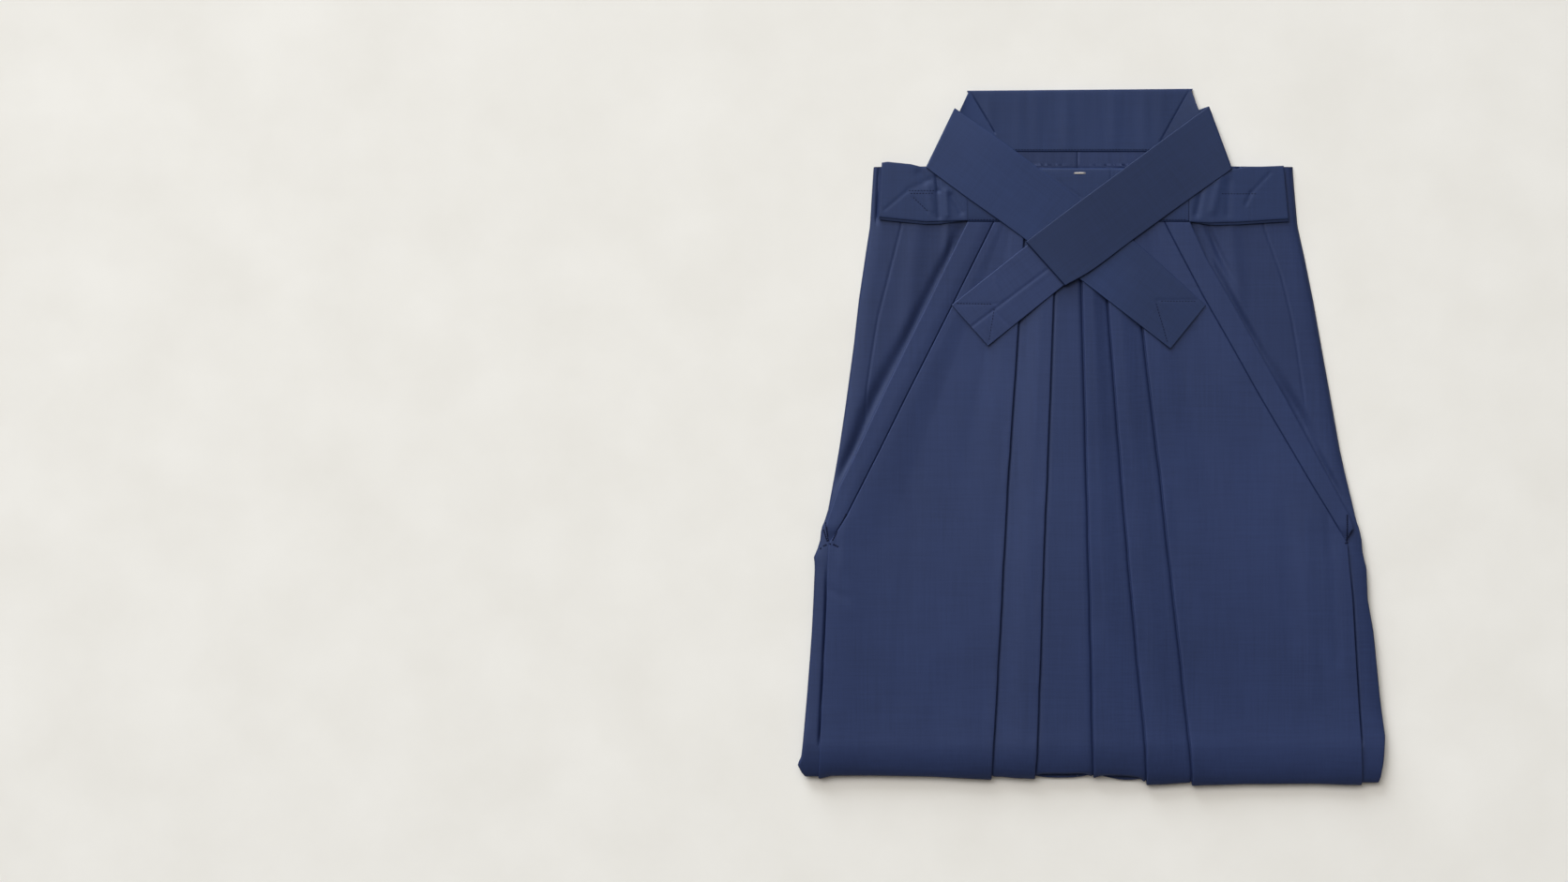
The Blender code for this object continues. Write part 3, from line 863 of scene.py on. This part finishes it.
def back_panel(name, side):
    neck_foot = WAISTBAND_TOP + 3.0
    neck_x = NECK_LEFT if side == LEFT else NECK_RIGHT
    ys, angles = rows_down(WAISTBAND_TOP + 1.5)
    neck = np.linspace(KOSHI_FOOT - 0.3, neck_foot, 6)
    ys = np.concatenate([neck, ys])
    angles = np.concatenate([np.full(len(neck), 90.0), angles])
    roll = [(EDGE_INSET, BACK_LEVEL - 1.3 * EDGE_ROLL)]
    roll += [(EDGE_INSET + EDGE_ROLL * (1.0 - math.sin(a)),
              BACK_LEVEL - EDGE_ROLL * (1.0 - math.cos(a)))
             for a in np.radians(np.linspace(90.0, 0.0, 8))]
    start = EDGE_INSET + EDGE_ROLL
    shares = np.concatenate([np.linspace(0.01, 0.40, 84), np.linspace(0.42, 1.0, 34)])
    upper, lower, middle = [], [], []
    for y, angle in zip(ys, angles):
        in_neck = y >= neck_foot
        edge = neck_x if in_neck else float(outline(y, side))
        level = eased(y, ROLL_Y, 40.0)
        span = abs(BACK_SEAM_X + side * SEAM_GAP - edge)
        path = roll + [(start + (span - start) * share, BACK_LEVEL) for share in shares]
        path = np.array([(edge - side * inwards, height) for inwards, height in path])
        if side == RIGHT:
            path = path[::-1]
        over, under = wall_sides(path, WALL)
        for points, rows in ((over, upper), (under, lower), (path, middle)):
            x, height = points[:, 0], points[:, 1]
            inwards = np.clip(1.0 - side * (edge - x) / EDGE_WIDTH, 0.0, 1.0)
            height = height + back_relief(x, y, side) - EDGE_ROUNDING * level * inwards ** 2
            rows.append(lay(x, height, np.full(len(x), y), np.full(len(x), angle),
                            along(BACK_TAIL, 1, x), *tuck(BACK_TUCK, x, angle)))
    piece = closed_shell(name + "_cloth", upper, lower, BACK_CLOTHS_PAINTED_SHADE[side])
    declare(piece, [name])
    return piece


# Hidden layers

LAYERS = 7
LAYER_POINTS = 7
FOLD_DEPTH = 1.5           # how far each fold's edge stands out from the gap below it
LAYERS_EDGE = 4.4          # from the garment's edge to the top of the stack of folds
INNER_STEP = 11.0          # from the edge to where the top of the inside lies lower


def hidden_layers():
    """The folded inside: a flat underside, and a stack of rounded folds all round its edges."""
    ys, angles = rows_down(WAISTBAND_TOP - 5.0, 8.0)
    neck = np.linspace(KOSHI_FOOT - 1.0, WAISTBAND_TOP - 1.5, 4)
    sides = {LEFT: [], RIGHT: []}
    for index, (y, angle) in enumerate(zip(np.concatenate([neck, ys]),
                                           np.concatenate([np.full(4, 90.0), angles]))):
        turn = math.radians(angle)
        if angle < 90.0:
            half = BEND_RADIUS * math.sin(turn)
            low, high = BEND_Z - half, BEND_Z + half
            row_y = ROLL_Y - (ROLL + BEND_RADIUS) * math.cos(turn)
        else:
            low, row_y = float(along(UNDERSIDE, 1, y)), y
            high = float(stack_height(y)) - EDGE_ROUNDING * eased(y, ROLL_Y, 40.0)
        for side, rows in sides.items():
            neck_x = NECK_LEFT if side == LEFT else NECK_RIGHT
            edge = neck_x if index < len(neck) else float(outline(y, side))
            row = []
            for layer in range(LAYERS):
                back = 1.6 + 1.3 * (1.0 + wave(y, layer * 1.9 + side, (171.0, 83.0, 47.0))) / 2
                back += max(0.0, BEND_RADIUS - (high - low) / 2) if angle < 90.0 else 0.0
                for share in np.linspace(0.0, 1.0, LAYER_POINTS, endpoint=False):
                    bulge = math.sqrt(max(0.0, 1.0 - (2.0 * share - 1.0) ** 2))
                    inset = back + FOLD_DEPTH * (1.0 - bulge)
                    row.append((edge - side * inset, row_y,
                                low + (high - low) * (layer + share) / LAYERS))
            row.append((edge - side * LAYERS_EDGE, row_y, high))
            inner_share = 0.45 if angle >= 90.0 else 0.15
            row.append((edge - side * INNER_STEP, row_y, low + (high - low) * inner_share))
            rows.append(row)
    piece = closed_shell("hidden_layers_cloth", sides[LEFT], sides[RIGHT], HIDDEN_CLOTH_PAINTED_SHADE)
    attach(piece, "root")
    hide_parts("hidden_layers")
    return piece


# Waistbands

# Rounding along both edges of a band
# in from the edge, drop
BAND_EDGE = (
    (0.0, 1.6),
    (0.2, 0.9),
    (0.5, 0.45),
    (1.1, 0.15),
    (2.2, 0.03),
)
BAND_COLUMNS, BAND_ROWS = 200, 44


def band(name, corners, floor, height, relief, finish):
    """A waistband between two straight edges, rounded along both, with its own soft relief.

    The corners are (x, y): foot left, foot right, top left, top right.
    """
    foot_left, foot_right, top_left, top_right = [np.array(corner) for corner in corners]
    inner = [(place, 0.0) for place in np.linspace(0.06, 0.94, BAND_ROWS)]
    upper, lower = [], []
    for share in np.linspace(0.0, 1.0, BAND_COLUMNS):
        foot = foot_left + (foot_right - foot_left) * share
        top = top_left + (top_right - top_left) * share
        span = float(np.linalg.norm(top - foot))
        near = [(place / span, drop) for place, drop in BAND_EDGE]
        profile = near + inner + [(1.0 - place, drop) for place, drop in reversed(near)]
        over, under = [], []
        for place, drop in profile:
            x, y = foot + (top - foot) * place
            body = math.sin(math.pi * place) ** 0.5
            z = floor + height - drop + body * float(relief(x, y))
            over.append((x, y, z))
            under.append((x, y, floor))
        upper.append(over)
        lower.append(under)
    piece = closed_shell(name + "_cloth", upper, lower, finish)
    declare(piece, [name])
    return piece


# Seams at the ends of the back waistband, and pressed lines in the front one
# x, y, to x, to y, half width, height
KOSHI_SEAMS = (
    (-139.5, 399.0, -112.0, 352.0, 1.0, -1.5),
    (113.5, 401.0, 80.0, 341.0, 1.2, -0.8),
)
WAISTBAND_SEAMS = (
    (22.5, 311.0, 22.5, 296.0, 1.0, -0.6),
    (26.3, 311.0, 26.3, 296.0, 1.0, -0.4),
    (-50.0, 305.0, -12.5, 277.0, 1.2, -0.35),
)


def waistband_relief(x, y):
    return float(settle(x, y)) + float(creases(WAISTBAND_SEAMS)(np.array(x), np.array(y)))


def koshi_relief(x, y):
    ripple = 0.30 * wave(x, 2.0, (47.0, 29.0, 18.0)) + 0.15 * wave(x + 0.3 * y, 6.0)
    return ripple + float(creases(KOSHI_SEAMS)(np.array(x), np.array(y)))


# Front ties folded to and fro

# Pressed lines and soft dents in the folded front ties
# x, y, to x, to y, half width, height
LEFT_STACK_CREASES = (
    (-237.0, 263.0, -213.0, 284.0, 1.5, -0.40),
    (-211.0, 286.0, -186.0, 297.5, 3.0, -0.32),
    (-199.0, 305.0, -192.0, 296.0, 6.0, -0.7),
    (-205.8, 276.9, -187.7, 259.7, 1.6, -0.25),
    (-179.5, 301.0, -177.0, 285.0, 2.3, -1.4),
    (-178.0, 283.0, -175.5, 254.0, 2.8, -0.8),
    (-161.5, 279.0, -150.4, 259.7, 3.2, -0.8),
    (-168.0, 284.0, -166.0, 256.0, 3.0, 0.7),
    (-190.0, 292.0, -184.0, 262.0, 3.2, 0.35),
)
RIGHT_STACK_CREASES = (
    (208.0, 305.0, 184.0, 282.0, 1.5, -0.35),
    (184.0, 282.0, 177.0, 269.0, 2.2, -0.5),
    (150.0, 300.0, 139.0, 262.0, 5.0, 0.7),
    (128.0, 290.0, 121.0, 258.0, 3.6, -0.9),
    (160.0, 296.0, 156.0, 258.0, 4.0, -0.45),
)


def tie_stack(name, side, edges, slant, relief):
    """A front tie folded in three, its folds stacked and a little out of line."""
    outer, inner = (edges[0][0], edges[-1][0]) if side == LEFT else (edges[-1][0], edges[0][0])
    depth = abs(outer - inner) - 4.0
    path = fold(outer, side, depth)[0]
    if side == LEFT:
        path = [(outer + 1.0, LOW), (outer + depth - 2.0, LOW)] + path + [(inner, TOP)]
    else:
        path = [(inner, TOP)] + path + [(outer - depth + 2.0, LOW), (outer - 1.0, LOW)]
    path = refine(path, 1.6)
    over, under = wall_sides(path, WALL)
    base = float(stack_height(PANEL_TOP))
    edge_shares = np.array((0.0, 0.006, 0.02, 0.05))
    shares = np.concatenate([edge_shares, np.linspace(0.08, 0.92, 34), 1.0 - edge_shares[::-1]])
    grids = {"over": [], "under": [], "middle": []}
    for share in shares:
        rounding = 0.25 * (1.0 - min(1.0, min(share, 1.0 - share) / 0.02)) ** 2
        for key, points in (("over", over), ("under", under), ("middle", path)):
            x, height = points[:, 0], points[:, 1]
            if key != "middle":
                height = height + (path[:, 1] - height) * rounding * 2.0
            stagger = STACK_STAGGER * np.clip((TOP - WALL / 2 - height) / 0.5, 0.0, 1.0)
            stagger = stagger * np.minimum(1.0, np.abs(x - inner) / STAGGER_FADE)
            foot, top = along(edges, 1, x) - stagger, along(edges, 2, x)
            y = foot + (top - foot) * share
            layer = np.clip((height - LOW) / (TOP - LOW), 0.0, 1.0)
            taken = STACK_LOW_SHARE + (1.0 - STACK_LOW_SHARE) * layer
            raised = STACK_LIFT * np.clip(2.0 * layer - 1.0, 0.0, 1.0)
            z = base + height + settle(x, y) + raised + taken * relief(x, y)
            leaning = side * slant * (0.5 - share) * np.clip(np.abs(x - inner) / 70.0, 0.0, 1.0)
            grids[key].append(np.stack([x + leaning, y, z], axis=-1))
    piece = closed_shell(name + "_cloth", grids["over"], grids["under"], BAND_CLOTH)
    declare(piece, [name])
    return piece


# Back ties

def smooth_rows(table):
    """Rows of a tie's table joined by a smooth curve, close enough to follow what it lies on."""
    knots = np.array(table, float)
    if len(knots) == 2:
        count = max(2, int(round(np.hypot(*(knots[1] - knots[0])[:2]) / TIE_ROW_STEP)))
        return knots[0] + (knots[1] - knots[0]) * np.linspace(0.0, 1.0, count + 1)[:, None]
    ends = np.concatenate([[2 * knots[0] - knots[1]], knots, [2 * knots[-1] - knots[-2]]])
    rows = []
    for p0, p1, p2, p3 in zip(ends, ends[1:], ends[2:], ends[3:]):
        count = max(2, int(round(np.hypot(*(p2 - p1)[:2]) / TIE_ROW_STEP)))
        for share in np.arange(count) / count:
            rows.append(0.5 * (2 * p1 + (p2 - p0) * share
                               + (2 * p0 - 5 * p1 + 4 * p2 - p3) * share ** 2
                               + (3 * p1 - p0 - 3 * p2 + p3) * share ** 3))
    return np.array(rows + [knots[-1]])


def tie_leg(table):
    """Rows of (upper, lower) points at the middle of a tie's wall."""
    rows = smooth_rows(table)
    out = np.zeros((len(rows), 2, 3))
    for end, (cx, cy, cl) in enumerate(((0, 1, 2), (3, 4, 5))):
        x, y, lift = rows[:, cx], rows[:, cy], rows[:, cl]
        out[:, end, 0], out[:, end, 1] = x, y
        out[:, end, 2] = stack_height(y) + FRONT_SKIN + 0.3 + TIE_WALL / 2 + lift + settle(x, y)
    return out


# Seams and soft dents in the ends of the back ties
# x, y, to x, to y, half width, height
LEFT_TIE_CREASES = (
    (74.0, 158.0, 122.0, 158.5, 1.1, -0.25),
    (75.0, 157.0, 89.0, 107.0, 1.1, -0.25),
    (20.0, 218.0, 40.0, 196.0, 9.0, -0.25),
)
RIGHT_END_CREASES = (
    (-146.0, 122.0, -52.0, 193.0, 1.6, -0.40),
    (-156.0, 153.0, -108.0, 154.0, 1.1, -0.2),
    (-115.0, 150.0, -119.0, 108.0, 1.1, -0.2),
    (-113.0, 146.0, -92.0, 126.0, 2.0, -0.4),
    (-104.0, 160.0, -112.0, 182.0, 2.5, 0.25),
    (-62.0, 182.0, -86.0, 205.0, 5.0, 0.2),
)

TIE_RIM = (0.0, 0.1, 0.3, 0.65, 1.2)    # places in from a tie's edge


def tie_turn(first, second):
    """Rows round the fold between two legs, whose end rows lie one over the other."""
    across = first[0] - first[1]
    across = across / np.linalg.norm(across)
    outwards = np.array((across[1], -across[0], 0.0))
    if outwards @ ((first[0] + first[1]) / 2 - TIES_CROSS) < 0.0:
        outwards = -outwards
    rows = []
    for angle in np.radians(np.linspace(-75.0, 75.0, 9)):
        share = (1.0 + math.sin(angle)) / 2
        rows.append(first + (second - first) * share
                    + outwards * TIE_TURN_RADIUS * math.cos(angle))
    return np.array(rows)


def tie(name, legs, nodes, finish, relief):
    """A tie's flattened tube along its legs, with pressed round edges.

    The longest leg lies on top and takes the relief.
    """
    parts = [legs[0]]
    for before, leg in zip(legs, legs[1:]):
        parts += [tie_turn(before[-1], leg[0]), leg]
    rows = np.concatenate(parts)
    lengths = [len(part) for part in parts]
    on_top = np.repeat(np.arange(len(parts)), lengths) == np.argmax(lengths)
    width = float(np.linalg.norm(rows[0, 0] - rows[0, 1]))
    rim = np.array(TIE_RIM) / width
    shares = np.concatenate([rim, np.linspace(0.04, 0.96, 46), 1.0 - rim[::-1]])
    thick = np.ones(len(shares))
    for index, place in enumerate(rim):
        gap = min(place * width / (TIE_WALL / 2), 1.0)
        thick[index] = thick[-1 - index] = max(0.12, math.sqrt(1.0 - (1.0 - gap) ** 2))
    middle = rows[:, None, 0] + (rows[:, None, 1] - rows[:, None, 0]) * shares[None, :, None]
    centre = rows.mean(axis=1)
    ahead = np.gradient(centre, axis=0)
    across = rows[:, 1] - rows[:, 0]
    normal = np.cross(across, ahead)
    normal /= np.linalg.norm(normal, axis=1)[:, None]
    for index in range(1, len(normal)):
        if normal[index] @ normal[index - 1] < 0.0:
            normal[index] = -normal[index]
    middle[on_top, :, 2] += relief(middle[on_top, :, 0], middle[on_top, :, 1])
    offset = normal[:, None, :] * thick[None, :, None] * TIE_WALL / 2
    piece = closed_shell(name + "_cloth", middle + offset, middle - offset, finish)
    declare(piece, nodes)
    return piece


# Stitching

def top_of(pieces):
    """A function that finds the highest cloth of some pieces at a place."""
    trees = []
    for piece in pieces:
        mesh = piece.data
        trees.append(BVHTree.FromPolygons([v.co for v in mesh.vertices],
                                          [p.vertices[:] for p in mesh.polygons]))

    def height(x, y):
        best = None
        for tree in trees:
            hit = tree.ray_cast(Vector((x * MM, y * MM, 0.2)), Vector((0.0, 0.0, -1.0)))
            if hit[0] is not None and (best is None or hit[0].z > best):
                best = hit[0].z
        return None if best is None else best / MM
    return height


# Rings of points along a stitch
# share of its length, share of its thickness
STITCH_RINGS = (
    (0.0, 0.25),
    (0.2, 1.0),
    (0.5, 1.12),
    (0.8, 1.0),
    (1.0, 0.25),
)
RING_ANGLES = np.radians((0.0, 60.0, 120.0, 180.0, 240.0, 300.0))
THREAD_SINK = 0.08

# pitch, length, width, rise
FINE_STITCH = (3.4, 2.3, 0.9, 0.14)
COARSE_STITCH = (2.5, 2.5, 1.8, 0.3)
BAR_TACK = (14.0, 13.6, 0.9, 0.6)

# Stitched lines
# x, y, to x, to y
KOSHI_LINES = ((-98.0, 332.5, 73.0, 332.5),)
WAISTBAND_LINES = ((WAISTBAND_LEFT + 1.0, 251.2, WAISTBAND_RIGHT - 1.0, 251.2),)
LEFT_TIE_LINES = (
    (119.5, 156.6, 77.5, 157.0),
    (74.0, 154.5, 88.0, 106.5),
)
RIGHT_END_LINES = (
    (-155.5, 154.5, -112.0, 153.5),
    (-112.5, 148.0, -119.0, 108.5),
)
LEFT_STACK_LINES = (
    (-211.0, 284.6, -178.0, 284.6),
    (-209.0, 281.4, -180.0, 281.4),
    (-205.8, 276.9, -187.7, 259.7),
)
RIGHT_STACK_LINES = ((150.0, 281.0, 192.0, 281.0),)
LEFT_OPENING_LINES = (
    (-306.9, -97.8, -303.1, -121.3),
    (-309.4, -106.2, -304.7, -120.5),
    (-283.0, -88.0, -299.4, -119.8),
    (-313.5, -129.2, -310.0, -125.8),
    (-310.0, -125.8, -303.2, -122.8),
    (-303.2, -122.8, -298.6, -123.1),
    (-298.6, -123.1, -290.3, -127.3),
)
RIGHT_OPENING_LINES = (
    (293.8, -89.1, 293.8, -121.0),
    (291.9, -119.8, 301.2, -105.0),
    (290.6, -122.0, 296.0, -122.0),
)
BAR_TACK_LINES = (
    (-20.6, 305.4, -6.4, 305.4),
    (-20.6, 304.5, -6.4, 304.5),
)


def stitch_rings(start, ahead, height, size):
    """Rings of points along one stitch from start, or none where there is no cloth."""
    length, width, rise = size[1:]
    rings = []
    for place, thickness in STITCH_RINGS:
        x, y = start[0] + ahead[0] * place * length, start[1] + ahead[1] * place * length
        z = height(x, y)
        if z is None:
            return []
        out = width / 2 * thickness * np.cos(RING_ANGLES)
        up = (rise * thickness + THREAD_SINK) * (0.5 + 0.5 * np.sin(RING_ANGLES))
        rings.append(np.stack([x - ahead[1] * out, y + ahead[0] * out, z - THREAD_SINK + up], axis=-1))
    return rings


def stitches(name, lines, pieces, finish, size=FINE_STITCH):
    """Short thread stitches along straight lines on top of some pieces."""
    height = top_of(pieces)
    around, last = len(RING_ANGLES), len(STITCH_RINGS) - 1
    points, faces = [], []
    for ax, ay, bx, by in lines:
        run_length = math.hypot(bx - ax, by - ay)
        ahead = ((bx - ax) / run_length, (by - ay) / run_length)
        for number in range(int(run_length / size[0])):
            begin = number * size[0]
            rings = stitch_rings((ax + ahead[0] * begin, ay + ahead[1] * begin), ahead, height, size)
            if not rings:
                continue
            base = len(points)
            for ring in rings:
                points += ring.tolist()
            for r in range(last):
                row = base + around * r
                for s in range(around):
                    t = (s + 1) % around
                    faces.append((row + s, row + t, row + around + t, row + around + s))
            faces.append(tuple(base + s for s in reversed(range(around))))
            faces.append(tuple(base + around * last + s for s in range(around)))
    piece = mesh_piece(name, points, faces, finish, 60.0)
    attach(piece, "root")
    return piece


# Floor, light and camera

FLOOR_REACH = 6.0          # metres
FLOOR_DROP = -0.0004
FLOOR_TINTS = ((0.838, 0.828, 0.800), (0.882, 0.875, 0.853))


def stage():
    mesh = bpy.data.meshes.new("floor")
    corners = [(x * FLOOR_REACH, y * FLOOR_REACH, FLOOR_DROP)
               for x, y in ((-1, -1), (1, -1), (1, 1), (-1, 1))]
    mesh.from_pydata(corners, [], [(0, 1, 2, 3)])
    finish, tree, shader = new_finish("pale_floor", {"Roughness": 0.9, "Specular IOR Level": 0.15})
    place = add_node(tree, "ShaderNodeTexCoord").outputs["Object"]
    tint = colour_ramp(tree, noise(tree, place, 9.0, 6.0), (0.3, 0.7), FLOOR_TINTS)
    tree.links.new(tint, shader.inputs["Base Color"])
    mesh.materials.append(finish)
    add_object("floor", mesh)


def sun_light(name, source, softness, strength, colour):
    """A far light from the direction of source; softness is its width in degrees."""
    light = bpy.data.lights.new(name, "SUN")
    light.angle = math.radians(softness)
    light.energy = strength
    light.color = colour
    lamp = add_object(name, light)
    lamp.rotation_euler = (-Vector(source)).to_track_quat("-Z", "Y").to_euler()


def area_light(name, place, target, size, power, colour):
    light = bpy.data.lights.new(name, "AREA")
    light.shape = "DISK"
    light.size = size
    light.energy = power
    light.color = colour
    lamp = add_object(name, light)
    lamp.location = place
    lamp.rotation_euler = (Vector(target) - Vector(place)).to_track_quat("-Z", "Y").to_euler()


def lights():
    world = bpy.data.worlds.new("soft_room")
    world.use_nodes = True
    back = world.node_tree.nodes["Background"]
    back.inputs["Color"].default_value = (1.0, 0.86, 0.70, 1.0)
    back.inputs["Strength"].default_value = 0.13
    bpy.context.scene.world = world
    sun_light("sky", (-0.30, 0.66, 1.0), 62.0, 1.62, (1.0, 0.985, 0.955))
    sun_light("low_sky", (-0.42, 1.0, 0.34), 30.0, 2.65, (0.90, 0.96, 1.0))
    area_light("window", (-2.2, 2.4, 4.4), (-0.2, 0.0, 0.0), 2.2, 62.0, (1.0, 0.98, 0.94))


IMAGE_WIDTH = 1672         # pixels
PIXEL = 1.08               # mm of the cloth's upper surface to a pixel
CENTRE_X, CENTRE_Y = -354.8, -4.3
CAMERA_HEIGHT = 3000.0
SUBJECT_HEIGHT = 15.0
SENSOR = 36.0


def camera():
    data = bpy.data.cameras.new("camera")
    data.sensor_width = SENSOR
    data.lens = SENSOR * (CAMERA_HEIGHT - SUBJECT_HEIGHT) / (IMAGE_WIDTH * PIXEL)
    data.clip_end = 100.0
    view = add_object("camera", data)
    view.location = (CENTRE_X * MM, CENTRE_Y * MM, CAMERA_HEIGHT * MM)
    bpy.context.scene.camera = view


def main():
    camera()
    stage()
    lights()
    bpy.context.scene.view_settings.view_transform = "Standard"

    hidden_layers()
    back_left = back_panel("back_panel_left", LEFT)
    back_right = back_panel("back_panel_right", RIGHT)
    front_left = front_panel("front_panel_left", front_left_path, LEFT_TAIL)
    front_right = front_panel("front_panel_right", front_right_path, RIGHT_TAIL)
    base = float(stack_height(PANEL_TOP)) + FRONT_BASE
    waistband = band("front_waistband",
                     ((WAISTBAND_LEFT, WAISTBAND_FOOT), (WAISTBAND_RIGHT, WAISTBAND_FOOT),
                      (WAISTBAND_LEFT, WAISTBAND_TOP), (WAISTBAND_RIGHT, WAISTBAND_TOP)),
                     base, FRONT_SKIN - FRONT_BASE, waistband_relief, BAND_CLOTH)
    koshi = band("back_waistband",
                 ((-102.1, KOSHI_FOOT), (76.1, KOSHI_FOOT), (-143.0, 400.8), (117.8, 403.0)),
                 0.0, KOSHI_HEIGHT, koshi_relief, BAND_CLOTH)
    stack_left = tie_stack("front_tie_left", LEFT, LEFT_TIE_STACK, LEFT_STACK_SLANT,
                           creases(LEFT_STACK_CREASES))
    stack_right = tie_stack("front_tie_right", RIGHT, RIGHT_TIE_STACK, RIGHT_STACK_SLANT,
                            creases(RIGHT_STACK_CREASES))

    left_tie = tie("back_tie_left", [tie_leg(LEFT_TIE_ROOT), tie_leg(LEFT_TIE)],
                   ["back_tie_left"], LEFT_TIE_CLOTH_PAINTED_SHEEN_AND_SHADE, creases(LEFT_TIE_CREASES))
    tie("back_tie_right", [tie_leg(RIGHT_TIE_ROOT), tie_leg(RIGHT_TIE), tie_leg(RIGHT_TIE_RETURN)],
        ["back_tie_right"], RIGHT_TIE_CLOTH_PAINTED_SHADE, creases(()))
    right_end = tie("back_tie_right_end", [tie_leg(RIGHT_TIE_END)],
                    ["back_tie_right_end"], RIGHT_END_CLOTH, creases(RIGHT_END_CREASES))

    for name, lines, pieces, size in (
            ("stitches_koshi", KOSHI_LINES, [koshi], FINE_STITCH),
            ("stitches_waistband", WAISTBAND_LINES, [waistband], FINE_STITCH),
            ("stitches_left_tie_end", LEFT_TIE_LINES, [left_tie], FINE_STITCH),
            ("stitches_right_tie_end", RIGHT_END_LINES, [right_end], FINE_STITCH),
            ("stitches_left_stack", LEFT_STACK_LINES, [stack_left], FINE_STITCH),
            ("stitches_left_opening", LEFT_OPENING_LINES, [back_left, front_left], COARSE_STITCH),
            ("stitches_right_opening", RIGHT_OPENING_LINES, [back_right, front_right],
             COARSE_STITCH),
            ("stitches_right_stack", RIGHT_STACK_LINES, [stack_right], FINE_STITCH)):
        stitches(name, lines, pieces, DARK_THREAD_WITH_PAINTED_SHADE, size)
    stitches("bartack_waist", BAR_TACK_LINES, [waistband], PALE_THREAD, BAR_TACK)


main()
